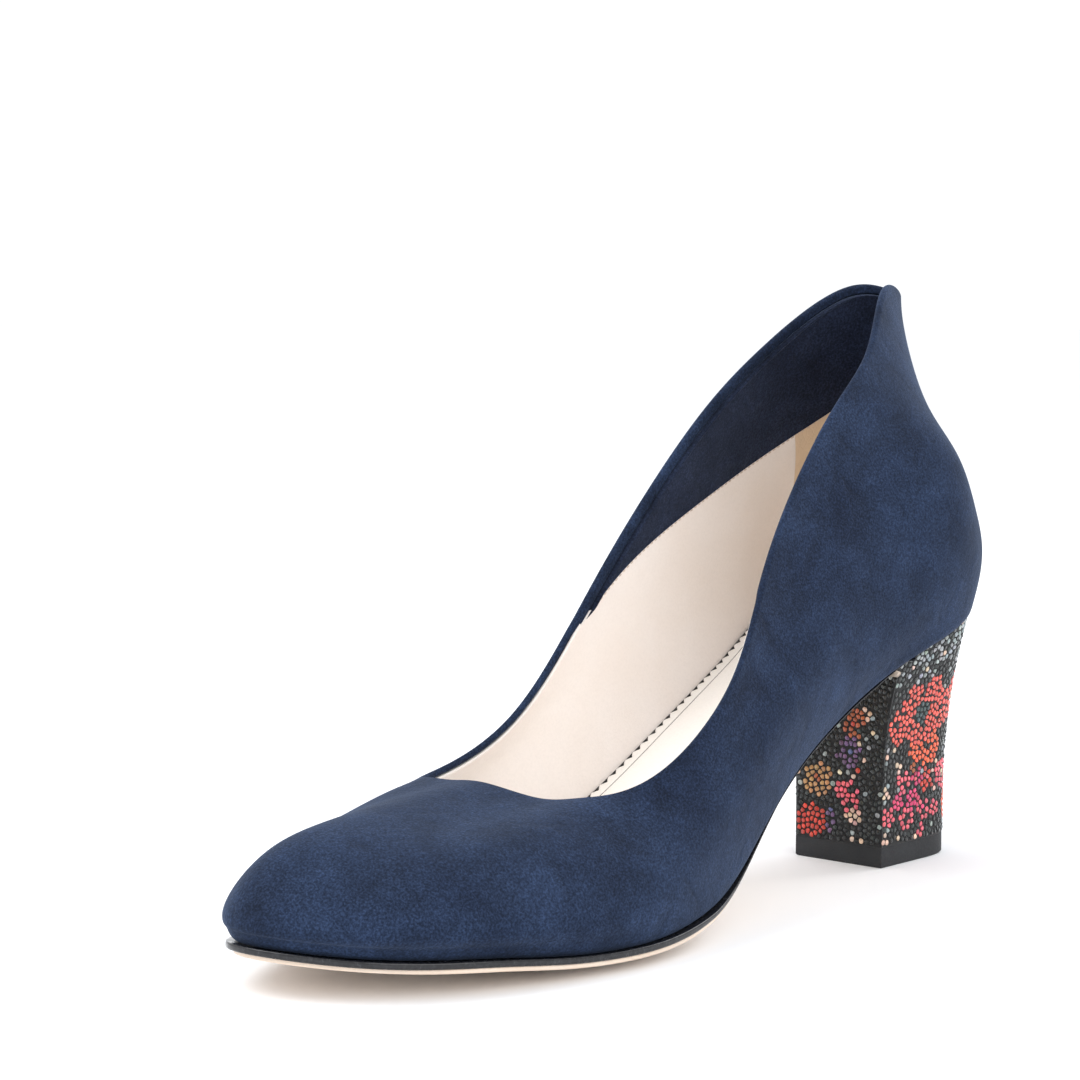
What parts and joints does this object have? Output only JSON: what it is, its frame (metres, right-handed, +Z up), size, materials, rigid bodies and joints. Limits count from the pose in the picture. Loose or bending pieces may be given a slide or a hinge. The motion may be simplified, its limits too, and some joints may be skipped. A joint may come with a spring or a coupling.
{
  "type": "high heel pump",
  "caption": "Left high heel pump: navy suede upper with a tall heel tab, almond toe, thin black-edged sole and a block heel in glitter cloth.",
  "frame": {"origin": "middle of the shoe's footprint, on the floor", "axes": "+Y from toe to heel, +X towards the lateral (outer) side of a left foot, +Z up"},
  "size_m": [0.0791, 0.2405, 0.1479],
  "materials": {
    "navy_suede": "short velvety nap, no gloss",
    "lining_leather": "smooth matt leather",
    "grip_leather": "brushed matt leather",
    "sock_leather": "smooth matt leather",
    "black_edge": "high gloss lacquer",
    "tan_sole": "satin leather",
    "glitter_cloth": "black cloth with small glossy coloured discs",
    "black_rubber": "satin rubber",
    "woven_backer": "plain cotton weave",
    "stiffener": "matt",
    "fibre_board": "matt pressed fibre",
    "spring_steel": "rolled steel",
    "cork": "granulated cork",
    "foam": "open cell foam",
    "heel_plastic": "moulded plastic"
  },
  "bodies": {
    "root": {"upper_suede": "navy_suede", "facing_lateral": "navy_suede", "facing_medial": "navy_suede", "vamp_lining": "lining_leather", "quarter_lining_lateral": "lining_leather", "quarter_lining_medial": "lining_leather", "heel_grip": "grip_leather", "sock_lining": "sock_leather", "sole_runner": "black_edge", "outsole": "tan_sole", "heel_wrap": "glitter_cloth", "heel_breast_cover": "glitter_cloth", "top_piece": "black_rubber", "topline_tape": "woven_backer", "interlining": "woven_backer", "toe_puff": "stiffener", "heel_counter": "stiffener", "insole_front": "fibre_board", "shank_board": "fibre_board", "steel_shank": "spring_steel", "shank_rivets": "spring_steel", "bottom_filler": "cork", "heel_pad": "foam", "heel_core": "heel_plastic", "top_piece_pins": "spring_steel", "heel_screw": "spring_steel", "heel_nails": "spring_steel"}
  },
  "joints": []
}
